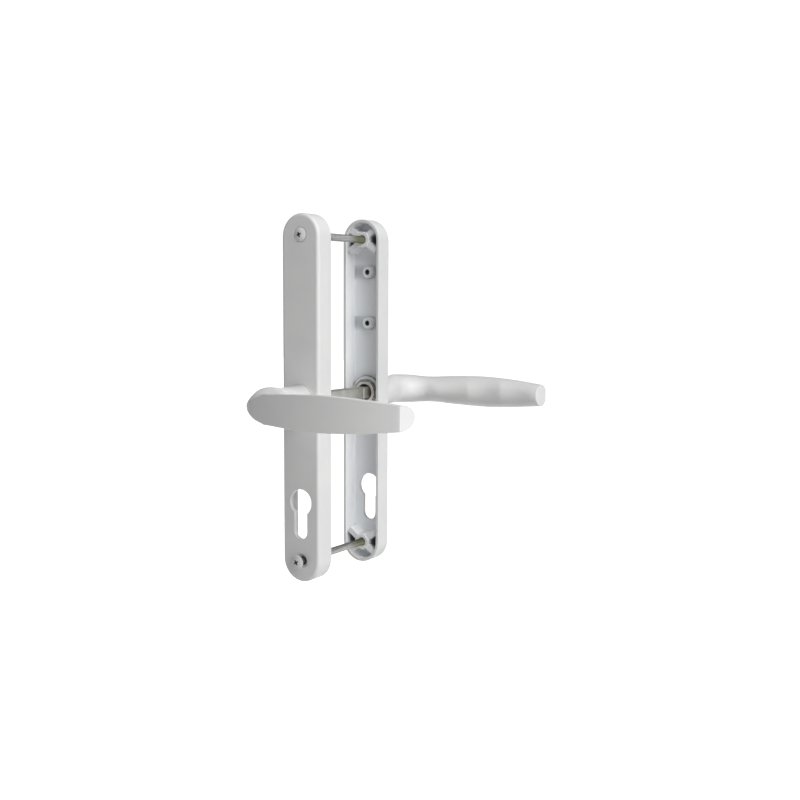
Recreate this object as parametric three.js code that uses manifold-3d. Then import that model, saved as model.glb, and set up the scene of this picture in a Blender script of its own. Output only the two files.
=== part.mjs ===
// A pair of lever handles on long, narrow backplates, for a plastic or aluminium door with a
// multipoint lock and a euro-profile cylinder. Millimetres, +Z up. The origin is on the spindle
// axis, half way through the door. The interior handle is on -Y, the exterior one on +Y, and both
// levers point to +X.
import * as THREE from "three";
import { ParametricGeometry } from "three/addons/geometries/ParametricGeometry.js";
import { mergeVertices } from "three/addons/utils/BufferGeometryUtils.js";
import Module from "manifold-3d";

// ---- Driving dimensions -------------------------------------------------------------------------

const DOOR_GAP = 56; // between the two rims, where the door leaf goes
const RUNNING_GAP = 0.1; // between pieces that turn or lie on each other
const LOOSE_GAP = 0.35; // round a bolt, and round a bolt's head in its countersink

const PLATE_LENGTH = 243;
const PLATE_WIDTH = 30;
const PLATE_DEPTH = 14;
const PLATE_WALL = 2.2;
const PLATE_FACE = 3;
const PLATE_EDGE = 2.3; // radius along the front edge
const BOLT_CENTRES = 215;
const CYLINDER_DROP = 68; // spindle axis to the centre of the cylinder's plug

const PROFILE_ROUND = 17; // euro profile: diameter of the round part
const PROFILE_WEB = 10; // width of the straight part
const PROFILE_HEIGHT = 33; // over both
const PROFILE_GAP = 0.25; // all round the cylinder

const BOSS_DIAMETER = 11; // round each bolt
const BOSS_SETBACK = 1; // the boss stops this far short of the door
const RIB_ANGLE = 35; // degrees from level, four ribs to a boss
const RIB_WIDTH = 3.8;
const RIB_SETBACK = 1.6; // the ribs stop this far short of the door
const BLIND_FLOOR = 1.7; // metal left in front of a blind hole
const LUG_HEIGHTS = [85, 49]; // spare screw lugs, above the spindle axis
const LUG_DIAMETER = 8.5;
const LUG_RISE = 3;
const LUG_HOLE = 3.6;
const TROUGH = { height: 9.5, depth: 0.8 }; // across the floor, round each lug

const BOLT_DIAMETER = 5;
const BOLT_REACH = 10; // of a bolt screwed home, into the far plate from the door's face
const BOLT_SHANK = 30; // plain length under the head
const HEAD_DIAMETER = 9.6;
const HEAD_DOME = 1.3;
const HEAD_RIM = 0.2; // straight edge between the dome and the countersink
const THREAD_RISE = 0.3; // rolled threads stand this much prouder than the plain shank
const TIP_CHAMFER = 0.8;
const RECESS_SPAN = 4.8; // cross recess, tip to tip
const RECESS_WIDTH = 1.1;
const RECESS_DEPTH = 1.9;
const BOTTOM_BOLT_OUT = 4.2; // the bottom bolt is left unscrewed by this much
const HEAD_TURN = [20, 35]; // degrees that the two cross recesses are turned by

const SPINDLE_SIDE = 8;
const SPINDLE_REACH = 31; // into each handle, from the door's face
const SPINDLE_CHAMFER = 0.8;
const SPINDLE_NOTCH = { width: 1.4, depth: 0.5, inset: 2 }; // to snap it at, inside either face
const SOCKET_GAP = 0.15; // each side of the spindle
const SOCKET_SPARE = 5.8; // beyond the spindle's end
const MOUTH_DEPTH = 10; // the socket starts round, and clears the spindle's corners

const JOURNAL_RADIUS = 8; // the turned end of a lever's neck
const FLAT_CUT = 0.6; // depth of the two flats that turn the driver
const GROOVE_CUT = 0.7; // depth of the circlip's groove
const GROOVE_LIP = 0.6; // journal left beyond the groove
const BUSH_WALL = 0.85;
const BUSH_FLANGE = { width: 2.05, thickness: 0.8 };
const SPRING = { wire: 0.9, coils: 3, play: 1.75 }; // play round the journal
const THRUST_WASHER = { width: 3.9, thickness: 0.5 };
const DRIVER = { width: 3.1, thickness: 0.8, tangHole: 1.4 };
const WAVE_WASHER = { width: 2.2, sheet: 0.25, height: 0.6, waves: 3 };
const CIRCLIP = { width: 1.9, thickness: 0.8, halfGap: 16, lug: 1.5, hole: 0.7 };

const GRUB_RADIUS = 2.5;
const GRUB_SUNK = 0.7; // below the surface of the neck
const GRUB_ALONG = 24; // from the door's face
const GRUB_SOCKET = { across: 2.5, depth: 2 };

const NECK_RADIUS = 10.5;
const LEVER_REACH = 112; // spindle axis to the lever's end
const LEVER_PROJECTION = 54; // plate face to the lever's outer face, at its two ends
const OUTER_LEAN = 11; // degrees by which the bowed outer face falls away at its two ends
const GRIP_THICKNESS = 16.2; // at the lever's end
const GRIP_BOW = 2.2;
const ELBOW_OUTSIDE = 20;
const ELBOW_INSIDE = 15;
const FINGER_PITCH = 25.8;
const FINGER_FIRST = 30.8; // the first ridge between two fingers, from the spindle axis
const FINGER_RIDGES = 4;
const FINGER_DEPTH = 1.1;
const RIDGE_SOFTNESS = 0.1; // 0 is a sharp ridge
// The flat outer face starts as a point on the elbow: where, along the outer line, it starts and
// where it is full.
const LEAF = { from: 13, to: 36 };
// There, the flat's share of the lever's height, and how far the side rounds back from it.
const OUTER_FACE = {
  interior: { share: 0.985, rounding: 10.5 },
  exterior: { share: 0.5, rounding: 7.2 },
};
// The elbow's outer side is drawn out to a soft ridge, sharpest at this distance along it.
const KEEL = { at: 11, to: 32.5, reach: 1.5, power: 0.5 };
const GRIP_DROP = 0.8; // the grip's middle lies this far below the spindle axis
const END_ROUND = 0.7;
// Half the lever's height, at shares of its reach: neck, waist, swell and end.
const HALF_HEIGHTS = [
  [-0.1, 10.5],
  [0.05, 10.4],
  [0.19, 9.45],
  [0.38, 10.5],
  [0.58, 11.1],
  [0.8, 9.8],
  [1, 7.6],
];

const ROUND_SEGMENTS = 36;
const SMALL_SEGMENTS = 20;
const ROUND_POINTS = 21; // round a lever's section, and across its flat
const FLAT_POINTS = 2;

// ---- Places worked out from them. A depth is measured outwards from the door's face. ------------

const floorDepth = PLATE_DEPTH - PLATE_FACE;
const insideWidth = PLATE_WIDTH - 2 * PLATE_WALL;
const insideLength = PLATE_LENGTH - 2 * PLATE_WALL;
const shoulderDepth = PLATE_DEPTH + RUNNING_GAP / 2 + BUSH_FLANGE.thickness + RUNNING_GAP;
const springDepth = floorDepth - RUNNING_GAP - SPRING.wire * SPRING.coils;
const thrustDepth = springDepth - RUNNING_GAP - THRUST_WASHER.thickness;
const driverDepth = thrustDepth - RUNNING_GAP - DRIVER.thickness;
const waveDepth = driverDepth - RUNNING_GAP - WAVE_WASHER.height;
const clipDepth = waveDepth - RUNNING_GAP - CIRCLIP.thickness;
const journalEnd = clipDepth - 2 * RUNNING_GAP - GROOVE_LIP;
const bushInside = JOURNAL_RADIUS + RUNNING_GAP;
const washerInside = JOURNAL_RADIUS + 2 * RUNNING_GAP;
const bushOutside = bushInside + BUSH_WALL;
const flangeRadius = bushOutside + BUSH_FLANGE.width;
const springRadius = JOURNAL_RADIUS + SPRING.play + SPRING.wire / 2; // to the wire's middle
const flatDistance = JOURNAL_RADIUS - FLAT_CUT; // from the axis to either flat
const grooveRadius = JOURNAL_RADIUS - GROOVE_CUT;
const mouthRadius = SPINDLE_SIDE / Math.SQRT2 + SOCKET_GAP;
const spindleLength = DOOR_GAP + 2 * SPINDLE_REACH;
const boltLength = PLATE_DEPTH + DOOR_GAP + BOLT_REACH; // tip to the rim of the head
const bolts = [
  { name: "top_bolt", z: BOLT_CENTRES / 2, out: 0, turn: HEAD_TURN[0] },
  { name: "bottom_bolt", z: -BOLT_CENTRES / 2, out: BOTTOM_BOLT_OUT, turn: HEAD_TURN[1] },
];

// ---- Materials ----------------------------------------------------------------------------------

const paint = new THREE.MeshStandardMaterial({ color: 0xe9eaea, roughness: 0.42, metalness: 0 });
const nylon = new THREE.MeshStandardMaterial({ color: 0xdcdcd6, roughness: 0.6, metalness: 0 });
const springSteel = new THREE.MeshStandardMaterial({ color: 0x55585a, roughness: 0.4, metalness: 1 });
const zincSteel = new THREE.MeshStandardMaterial({ color: 0xa9a69c, roughness: 0.35, metalness: 1 });
const yellowZinc = new THREE.MeshStandardMaterial({ color: 0x9a9a80, roughness: 0.4, metalness: 1 });

// ---- Solids -------------------------------------------------------------------------------------

const wasm = await Module();
wasm.setup();

// A closed geometry as a solid: vertices are merged, collapsed triangles dropped, and an inside-out
// surface is turned round.
function solid(geometry) {
  const bare = geometry.index ? geometry.toNonIndexed() : geometry.clone();
  for (const name of Object.keys(bare.attributes)) {
    if (name !== "position") bare.deleteAttribute(name);
  }
  const merged = mergeVertices(bare, 1e-4);
  const corners = [];
  for (let i = 0; i < merged.index.count; i += 3) {
    const [a, b, c] = [0, 1, 2].map((k) => merged.index.getX(i + k));
    if (a !== b && b !== c && c !== a) corners.push([a, b, c]);
  }
  const build = (faces) =>
    new wasm.Manifold(
      new wasm.Mesh({
        numProp: 3,
        vertProperties: new Float32Array(merged.attributes.position.array),
        triVerts: new Uint32Array(faces.flat()),
      }),
    );
  const made = build(corners);
  return made.volume() < 0 ? build(corners.map(([a, b, c]) => [a, c, b])) : made;
}

function mesh(name, material, body) {
  const { vertProperties, numProp, numVert, triVerts } = body.getMesh();
  const positions = new Float32Array(numVert * 3);
  for (let i = 0; i < numVert; i++) {
    positions.set(vertProperties.subarray(i * numProp, i * numProp + 3), i * 3);
  }
  const geometry = new THREE.BufferGeometry();
  geometry.setAttribute("position", new THREE.BufferAttribute(positions, 3));
  geometry.setIndex(new THREE.BufferAttribute(new Uint32Array(triVerts), 1));
  geometry.computeVertexNormals();
  const made = new THREE.Mesh(geometry, material);
  made.name = name;
  return made;
}

// A shape drawn in X and Z, as a slab between two depths. Depths run outwards, along -Y.
function slab(shape, from, to, segments = ROUND_SEGMENTS / 2) {
  const geometry = new THREE.ExtrudeGeometry(shape, {
    depth: to - from,
    bevelEnabled: false,
    curveSegments: segments,
  });
  return solid(geometry.translate(0, 0, from).rotateX(Math.PI / 2));
}

// A round bar along Y between two depths, centred on x = 0.
function bar(radius, from, to, z = 0, segments = SMALL_SEGMENTS) {
  const geometry = new THREE.CylinderGeometry(radius, radius, to - from, segments);
  return solid(geometry.translate(0, -(from + to) / 2, z));
}

// A ring turned about the Y axis, from a closed profile of [radius, depth] corners.
function turned(profile, segments = ROUND_SEGMENTS) {
  const points = [...profile, profile[0]].map(([r, depth]) => new THREE.Vector2(r, -depth));
  return solid(new THREE.LatheGeometry(points, segments));
}

function ring(inside, outside, from, to) {
  return turned([
    [inside, from],
    [outside, from],
    [outside, to],
    [inside, to],
  ]);
}

// ---- Backplates ---------------------------------------------------------------------------------

function stadium(length, width) {
  const r = width / 2;
  const end = length / 2 - r;
  const shape = new THREE.Shape();
  shape.absarc(0, end, r, 0, Math.PI);
  shape.absarc(0, -end, r, Math.PI, 2 * Math.PI);
  shape.closePath();
  return shape;
}

// The round part of a euro profile over its straight part, whose lower end is round.
function euroProfile() {
  const r = PROFILE_ROUND / 2 + PROFILE_GAP;
  const half = PROFILE_WEB / 2 + PROFILE_GAP;
  const bottom = -CYLINDER_DROP + PROFILE_ROUND / 2 - PROFILE_HEIGHT - PROFILE_GAP + half;
  const meet = Math.asin(half / r);
  const shape = new THREE.Shape();
  shape.absarc(0, -CYLINDER_DROP, r, -Math.PI / 2 + meet, 1.5 * Math.PI - meet);
  shape.absarc(0, bottom, half, Math.PI, 2 * Math.PI);
  shape.closePath();
  return shape;
}

// The plate's outside: a stadium whose front edge is rounded. The rounding that the extrusion also
// gives its back edge is cut away at the door's face.
function plateOutside() {
  const geometry = new THREE.ExtrudeGeometry(stadium(PLATE_LENGTH, PLATE_WIDTH), {
    depth: PLATE_DEPTH - PLATE_EDGE,
    bevelThickness: PLATE_EDGE,
    bevelSize: PLATE_EDGE,
    bevelOffset: -PLATE_EDGE,
    bevelSegments: 3,
    curveSegments: ROUND_SEGMENTS / 2,
  });
  const behind = new THREE.BoxGeometry(2 * PLATE_WIDTH, PLATE_EDGE + 1, 2 * PLATE_LENGTH);
  behind.translate(0, (PLATE_EDGE + 1) / 2, 0);
  return solid(geometry.rotateX(Math.PI / 2)).subtract(solid(behind));
}

// A boss for a bolt, with four ribs out to the walls.
function boltBoss(z) {
  let made = bar(BOSS_DIAMETER / 2, BOSS_SETBACK, floorDepth + PLATE_FACE / 2, z);
  const root = floorDepth + PLATE_FACE / 2;
  for (const angle of [RIB_ANGLE, -RIB_ANGLE]) {
    const rib = new THREE.BoxGeometry(2 * PLATE_WIDTH, root - RIB_SETBACK, RIB_WIDTH);
    rib.translate(0, -(RIB_SETBACK + root) / 2, 0);
    rib.rotateY(THREE.MathUtils.degToRad(angle)).translate(0, 0, z);
    made = made.add(solid(rib));
  }
  return made;
}

function backplate(name, boltsPassThrough) {
  const outside = plateOutside();
  const cavity = slab(stadium(insideLength, insideWidth), -1, floorDepth);
  const reach = slab(stadium(PLATE_LENGTH - PLATE_WALL, PLATE_WIDTH - PLATE_WALL), 0, PLATE_DEPTH - 1);
  let made = outside.subtract(cavity);
  for (const { z } of bolts) made = made.add(boltBoss(z).intersect(reach));
  for (const z of LUG_HEIGHTS) {
    const trough = new THREE.BoxGeometry(insideWidth, 2 * TROUGH.depth, TROUGH.height);
    made = made.subtract(solid(trough.translate(0, -floorDepth, z)));
    made = made.add(bar(LUG_DIAMETER / 2, floorDepth - LUG_RISE, floorDepth + TROUGH.depth + 0.5, z));
    made = made.subtract(bar(LUG_HOLE / 2, 0, PLATE_DEPTH - BLIND_FLOOR, z, SMALL_SEGMENTS / 2));
  }
  made = made.subtract(slab(euroProfile(), floorDepth - 1, PLATE_DEPTH + 1));
  made = made.subtract(bar(bushOutside + RUNNING_GAP, 0, PLATE_DEPTH + 1, 0, ROUND_SEGMENTS));
  for (const { z } of bolts) made = made.subtract(boltHole(boltsPassThrough).translate([0, 0, z]));
  return mesh(name, paint, made);
}

// A clear hole with a countersink in the front face, or a blind hole from the door's side.
function boltHole(passesThrough) {
  const r = BOLT_DIAMETER / 2 + LOOSE_GAP;
  if (!passesThrough) return bar(r, 0, PLATE_DEPTH - BLIND_FLOOR);
  const rim = HEAD_DIAMETER / 2 + LOOSE_GAP * Math.SQRT2;
  const sink = turned(
    [
      [0, PLATE_DEPTH - (rim - r)],
      [r, PLATE_DEPTH - (rim - r)],
      [rim, PLATE_DEPTH],
      [rim, PLATE_DEPTH + 1],
      [0, PLATE_DEPTH + 1],
    ],
    SMALL_SEGMENTS,
  );
  return bar(r, 0, PLATE_DEPTH).add(sink);
}

// ---- Levers -------------------------------------------------------------------------------------

const halfHeight = new THREE.SplineCurve(
  HALF_HEIGHTS.map(([share, half]) => new THREE.Vector2(share * LEVER_REACH, half)),
);

// The spline's height at a distance along the lever, found by halving.
function halfHeightAt(x) {
  let [low, high] = [0, 1];
  for (let i = 0; i < 24; i++) {
    const middle = (low + high) / 2;
    if (halfHeight.getPoint(middle).x < x) low = middle;
    else high = middle;
  }
  return halfHeight.getPoint(low).y;
}

// The lever's sections, from the neck's shoulder to the end. Each one is cut by an upright plane
// through a point on the outer line and a point on the inner line, both [x, depth]. along is the
// distance of the outer point along its line, from the start of the elbow.
function leverSections() {
  const faceDepth = PLATE_DEPTH + LEVER_PROJECTION;
  const gripDepth = faceDepth - GRIP_THICKNESS;
  const lean = THREE.MathUtils.degToRad(OUTER_LEAN);
  const outerTurn = Math.PI / 2 - lean;
  const outerCentre = [
    ELBOW_OUTSIDE - NECK_RADIUS,
    faceDepth - ELBOW_OUTSIDE * Math.cos(lean),
  ];
  const innerCentre = [ELBOW_INSIDE + NECK_RADIUS, gripDepth - ELBOW_INSIDE];
  const arc = ([x, depth], r, angle) => [x - r * Math.cos(angle), depth + r * Math.sin(angle)];
  const bladeStart = outerCentre[0] - ELBOW_OUTSIDE * Math.sin(lean);
  const outerBow = ((LEVER_REACH - bladeStart) * Math.tan(lean)) / 4;
  const bow = (x, start) => {
    const middle = (start + LEVER_REACH) / 2;
    return 1 - ((x - middle) / (LEVER_REACH - middle)) ** 2;
  };
  const fingers = (x) => {
    const share = (x - FINGER_FIRST) / FINGER_PITCH;
    if (share < 0 || share > FINGER_RIDGES - 1) return 0;
    return Math.hypot(Math.sin(Math.PI * share), RIDGE_SOFTNESS) - RIDGE_SOFTNESS;
  };
  const sections = [
    { outer: [-NECK_RADIUS, shoulderDepth], inner: [NECK_RADIUS, shoulderDepth], along: 0 },
  ];
  const elbowSteps = 10;
  for (let i = 0; i <= elbowSteps; i++) {
    const share = i / elbowSteps;
    sections.push({
      outer: arc(outerCentre, ELBOW_OUTSIDE, outerTurn * share),
      inner: arc(innerCentre, ELBOW_INSIDE, (Math.PI / 2) * share),
      along: ELBOW_OUTSIDE * outerTurn * share,
    });
  }
  const bladeSteps = 26;
  for (let i = 1; i <= bladeSteps; i++) {
    const share = i / bladeSteps;
    const x = THREE.MathUtils.lerp(bladeStart, LEVER_REACH - END_ROUND, share);
    const inX = THREE.MathUtils.lerp(innerCentre[0], LEVER_REACH - END_ROUND, share);
    sections.push({
      outer: [x, faceDepth + outerBow * bow(x, bladeStart)],
      inner: [inX, gripDepth + GRIP_BOW * bow(inX, innerCentre[0]) ** 2 + FINGER_DEPTH * fingers(inX)],
      along: ELBOW_OUTSIDE * outerTurn + x - bladeStart,
    });
  }
  const last = sections[sections.length - 1];
  const inset = (point, by) => [LEVER_REACH, point[1] + by];
  sections.push({
    outer: inset(last.outer, -END_ROUND),
    inner: inset(last.inner, END_ROUND),
    along: last.along,
    shrink: END_ROUND,
  });
  return sections;
}

// The points of a section: an ellipse cut off flat on its outer side. The cut has no width on the
// neck, and widens over the elbow.
function sectionPoints({ outer, inner, along, shrink = 0 }, face) {
  const { smoothstep, clamp, lerp } = THREE.MathUtils;
  const across = [inner[0] - outer[0], inner[1] - outer[1]];
  const thickness = Math.hypot(...across);
  const half = halfHeightAt((outer[0] + inner[0]) / 2) - shrink;
  const grown = clamp((along - LEAF.from) / (LEAF.to - LEAF.from), 0, 1);
  const flat = face.share * grown;
  const keel = smoothstep(along, 0, KEEL.at) - smoothstep(along, KEEL.at, KEEL.to);
  const power = 1 + KEEL.power * keel;
  const outerAxis = lerp(NECK_RADIUS, face.rounding, grown) + KEEL.reach * keel;
  const widest = outerAxis * Math.sqrt(1 - flat ** (2 / power));
  const crease = Math.PI - Math.asin(flat ** (1 / power));
  const drop = GRIP_DROP * smoothstep(along, 0, KEEL.to);
  const place = (distance, up) => {
    const share = distance / thickness;
    return [outer[0] + across[0] * share, -(outer[1] + across[1] * share), up - drop];
  };
  const points = [];
  for (let i = 0; i < ROUND_POINTS; i++) {
    const turn = crease * ((2 * i) / (ROUND_POINTS - 1) - 1);
    const [cosine, sine] = [Math.cos(turn), Math.sin(turn)];
    const [axis, bend] = cosine > 0 ? [thickness - widest, 1] : [outerAxis, power];
    const up = half * Math.sign(sine) * Math.abs(sine) ** bend;
    points.push(place(widest + axis * cosine, up));
  }
  for (let i = 1; i <= FLAT_POINTS; i++) {
    points.push(place(0, half * flat * (1 - (2 * i) / (FLAT_POINTS + 1))));
  }
  return points;
}

function leverBody(face) {
  const rings = leverSections().map((section) => sectionPoints(section, face));
  const count = ROUND_POINTS + FLAT_POINTS;
  const centre = (ring) => [0, 1, 2].map((k) => ring.reduce((sum, p) => sum + p[k], 0) / count);
  rings.unshift(Array(count).fill(centre(rings[0])));
  rings.push(Array(count).fill(centre(rings[rings.length - 1])));
  const last = rings.length - 1;
  const surface = (u, v, target) =>
    target.set(...rings[Math.round(u * last)][Math.round(v * count) % count]);
  return solid(new ParametricGeometry(surface, last, count));
}

function lever(name, face) {
  const grooveFrom = clipDepth - 2 * RUNNING_GAP;
  const grooveTo = clipDepth + CIRCLIP.thickness + 2 * RUNNING_GAP;
  const socketSide = SPINDLE_SIDE + 2 * SOCKET_GAP;
  const socketEnd = SPINDLE_REACH + SOCKET_SPARE;
  const socket = new THREE.BoxGeometry(socketSide, socketEnd - journalEnd, socketSide);
  socket.translate(0, -(journalEnd + socketEnd) / 2, 0);
  const flatted = flats(flatDistance, journalEnd, thrustDepth);
  const round = bar(JOURNAL_RADIUS, thrustDepth, shoulderDepth + 1, 0, ROUND_SEGMENTS);
  const made = leverBody(face)
    .add(bar(JOURNAL_RADIUS, journalEnd, thrustDepth + 1, 0, ROUND_SEGMENTS).intersect(flatted))
    .add(round)
    .subtract(ring(grooveRadius, JOURNAL_RADIUS + 1, grooveFrom, grooveTo))
    .subtract(solid(socket))
    .subtract(bar(mouthRadius, journalEnd - 1, journalEnd + MOUTH_DEPTH))
    .subtract(standing(GRUB_RADIUS + RUNNING_GAP, -NECK_RADIUS - 1, 0));
  return mesh(name, paint, made);
}

// The space between two flats, each this far from the axis, above and below it.
function flats(distance, from, to) {
  const box = new THREE.BoxGeometry(4 * JOURNAL_RADIUS, to + 2 - from, 2 * distance);
  return solid(box.translate(0, -(from + to) / 2, 0));
}

// An upright round bar at the grub screw's place, between two heights.
function standing(radius, from, to, segments = SMALL_SEGMENTS / 2) {
  const geometry = new THREE.CylinderGeometry(radius, radius, to - from, segments);
  return solid(geometry.rotateX(Math.PI / 2).translate(0, -GRUB_ALONG, (from + to) / 2));
}

// The screw under the neck that grips the spindle, with a hexagon socket in its outer end.
function grubScrew(name) {
  const outer = -NECK_RADIUS + GRUB_SUNK;
  const tip = -SPINDLE_SIDE / 2 - RUNNING_GAP;
  const hexagon = GRUB_SOCKET.across / Math.sqrt(3);
  const made = standing(GRUB_RADIUS, outer, tip).subtract(
    standing(hexagon, outer - 1, outer + GRUB_SOCKET.depth, 6),
  );
  return mesh(name, zincSteel, made);
}

// ---- What holds a lever in its plate ------------------------------------------------------------

function bush(name) {
  const plateFace = PLATE_DEPTH + RUNNING_GAP / 2;
  const profile = [
    [bushInside, floorDepth + RUNNING_GAP],
    [bushOutside, floorDepth + RUNNING_GAP],
    [bushOutside, plateFace],
    [flangeRadius, plateFace],
    [flangeRadius, plateFace + BUSH_FLANGE.thickness],
    [bushInside, plateFace + BUSH_FLANGE.thickness],
  ];
  return mesh(name, nylon, turned(profile));
}

// The return spring, as one solid with a bulge for each coil.
function returnSpring(name) {
  const { wire, coils } = SPRING;
  const outline = (side) => {
    const points = [];
    for (let i = 0; i < coils; i++) {
      const middle = springDepth + wire * (i + 0.5);
      for (const angle of [-60, 0, 60]) {
        const turn = THREE.MathUtils.degToRad(angle);
        points.push([
          springRadius + (side * wire * Math.cos(turn)) / 2,
          middle + (wire * Math.sin(turn)) / 2,
        ]);
      }
    }
    return points;
  };
  const profile = [...outline(1), ...outline(-1).reverse()];
  return mesh(name, springSteel, turned(profile, SMALL_SEGMENTS));
}

function thrustWasher(name) {
  const to = thrustDepth + THRUST_WASHER.thickness;
  const disc = ring(washerInside, washerInside + THRUST_WASHER.width, thrustDepth, to);
  return mesh(name, springSteel, disc.subtract(tangHole(thrustDepth, to)));
}

// Room for the end of the return spring's wire, which the driver pushes round.
function tangHole(from, to) {
  const hole = bar(DRIVER.tangHole / 2, from - 1, to + 1, 0, SMALL_SEGMENTS / 2);
  return hole.translate([-springRadius, 0, 0]);
}

// The disc that the journal's flats turn. The spring's tang stands in its hole.
function springDriver(name) {
  const to = driverDepth + DRIVER.thickness;
  const hole = bar(washerInside, driverDepth - 1, to + 1, 0, ROUND_SEGMENTS).intersect(
    flats(flatDistance + RUNNING_GAP, driverDepth - 1, to + 1),
  );
  const disc = bar(washerInside + DRIVER.width, driverDepth, to, 0, ROUND_SEGMENTS);
  const made = disc.subtract(hole);
  return mesh(name, zincSteel, made.subtract(tangHole(driverDepth, to)));
}

// A thin washer that rises and falls, and takes up the end play.
function waveWasher(name) {
  const { width, sheet, height, waves } = WAVE_WASHER;
  const radius = washerInside + width;
  const profile = [
    [washerInside, waveDepth],
    [radius, waveDepth],
    [radius, waveDepth + sheet],
    [washerInside, waveDepth + sheet],
    [washerInside, waveDepth],
  ].map(([r, depth]) => new THREE.Vector2(r, -depth));
  const geometry = new THREE.LatheGeometry(profile, ROUND_SEGMENTS);
  const position = geometry.attributes.position;
  for (let i = 0; i < position.count; i++) {
    const turn = Math.atan2(position.getZ(i), position.getX(i));
    const rise = ((height - sheet) * (1 - Math.cos(waves * turn))) / 2;
    position.setY(i, position.getY(i) - rise);
  }
  return mesh(name, zincSteel, solid(geometry));
}

// An open ring in the journal's groove, with an eye at each end for the pliers.
function circlip(name) {
  const { width, thickness, halfGap, lug, hole } = CIRCLIP;
  const inside = grooveRadius + RUNNING_GAP;
  const radius = inside + width;
  const to = clipDepth + thickness;
  const gap = THREE.MathUtils.degToRad(halfGap);
  const shape = new THREE.Shape();
  shape.absarc(0, 0, radius, gap, 2 * Math.PI - gap);
  shape.absarc(0, 0, inside, 2 * Math.PI - gap, gap, true);
  shape.closePath();
  let made = slab(shape, clipDepth, to, SMALL_SEGMENTS - 4);
  for (const angle of [gap, -gap]) {
    const place = [radius * Math.cos(angle), 0, radius * Math.sin(angle)];
    made = made.add(bar(lug, clipDepth, to, 0, SMALL_SEGMENTS / 2).translate(place));
    made = made.subtract(bar(hole, clipDepth - 1, to + 1, 0, 8).translate(place));
  }
  const throat = bar(inside, clipDepth - 1, to + 1, 0, ROUND_SEGMENTS);
  return mesh(name, springSteel, made.subtract(throat));
}

// ---- Spindle and bolts --------------------------------------------------------------------------

function spindle() {
  const half = SPINDLE_SIDE / 2;
  const shape = new THREE.Shape();
  shape.moveTo(-half, -half).lineTo(half, -half).lineTo(half, half).lineTo(-half, half).closePath();
  const geometry = new THREE.ExtrudeGeometry(shape, {
    depth: spindleLength - 2 * SPINDLE_CHAMFER,
    bevelThickness: SPINDLE_CHAMFER,
    bevelSize: SPINDLE_CHAMFER,
    bevelOffset: -SPINDLE_CHAMFER,
    bevelSegments: 1,
  });
  geometry.translate(0, 0, SPINDLE_CHAMFER - spindleLength / 2).rotateX(Math.PI / 2);
  const { width, depth, inset } = SPINDLE_NOTCH;
  const at = DOOR_GAP / 2 - inset;
  const core = SPINDLE_SIDE - 2 * depth;
  const collar = solid(new THREE.BoxGeometry(2 * SPINDLE_SIDE, width, 2 * SPINDLE_SIDE)).subtract(
    solid(new THREE.BoxGeometry(core, 2 * width, core)),
  );
  let made = solid(geometry);
  for (const y of [-at, at]) made = made.subtract(collar.translate([0, y, 0]));
  return mesh("spindle", zincSteel, made);
}

// A machine screw with a raised countersunk head. Its own y is 0 at the head's rim, and runs along
// the shank.
function bolt({ name, z, out, turn }) {
  const r = BOLT_DIAMETER / 2;
  const shank = r - THREAD_RISE;
  const head = HEAD_DIAMETER / 2;
  const domeSteps = 5;
  const domeRadius = (head ** 2 + HEAD_DOME ** 2) / (2 * HEAD_DOME);
  const profile = [];
  for (let i = 0; i <= domeSteps; i++) {
    const x = (head * i) / domeSteps;
    profile.push([x, domeRadius - HEAD_DOME - Math.sqrt(domeRadius ** 2 - x ** 2)]);
  }
  profile.push(
    [head, HEAD_RIM],
    [shank, HEAD_RIM + head - shank],
    [shank, BOLT_SHANK],
    [r, BOLT_SHANK + THREAD_RISE],
    [r, boltLength - TIP_CHAMFER],
    [r - TIP_CHAMFER, boltLength],
    [0, boltLength],
  );
  const points = profile.map(([x, y]) => new THREE.Vector2(x, y));
  let made = solid(new THREE.LatheGeometry(points, SMALL_SEGMENTS));
  for (const quarter of [0, 90]) {
    const wing = new THREE.BoxGeometry(RECESS_SPAN, 2 * RECESS_DEPTH, RECESS_WIDTH);
    wing.translate(0, -HEAD_DOME, 0);
    made = made.subtract(solid(wing.rotateY(THREE.MathUtils.degToRad(turn + quarter))));
  }
  const placed = mesh(name, yellowZinc, made);
  placed.position.set(0, -DOOR_GAP / 2 - PLATE_DEPTH - out, z);
  return placed;
}

// ---- Assembly -----------------------------------------------------------------------------------

// One handle, with the door's face at y = 0 and the handle on the -y side of it.
function handle(side, boltsPassThrough) {
  const group = new THREE.Group();
  group.add(
    backplate(`${side}_backplate`, boltsPassThrough),
    bush(`${side}_bush`),
    returnSpring(`${side}_return_spring`),
    thrustWasher(`${side}_thrust_washer`),
    springDriver(`${side}_spring_driver`),
    waveWasher(`${side}_wave_washer`),
    circlip(`${side}_circlip`),
    lever(`${side}_lever`, OUTER_FACE[side]),
    grubScrew(`${side}_grub_screw`),
  );
  return group;
}

const interior = handle("interior", true);
interior.position.y = -DOOR_GAP / 2;
const exterior = handle("exterior", false);
exterior.scale.y = -1;
exterior.position.y = DOOR_GAP / 2;

const handleSet = new THREE.Group();
handleSet.add(interior, exterior, spindle(), ...bolts.map(bolt));

export default handleSet;
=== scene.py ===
import math

import bpy
import bmesh
import numpy as np
from mathutils import Euler, Matrix, Vector


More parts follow.
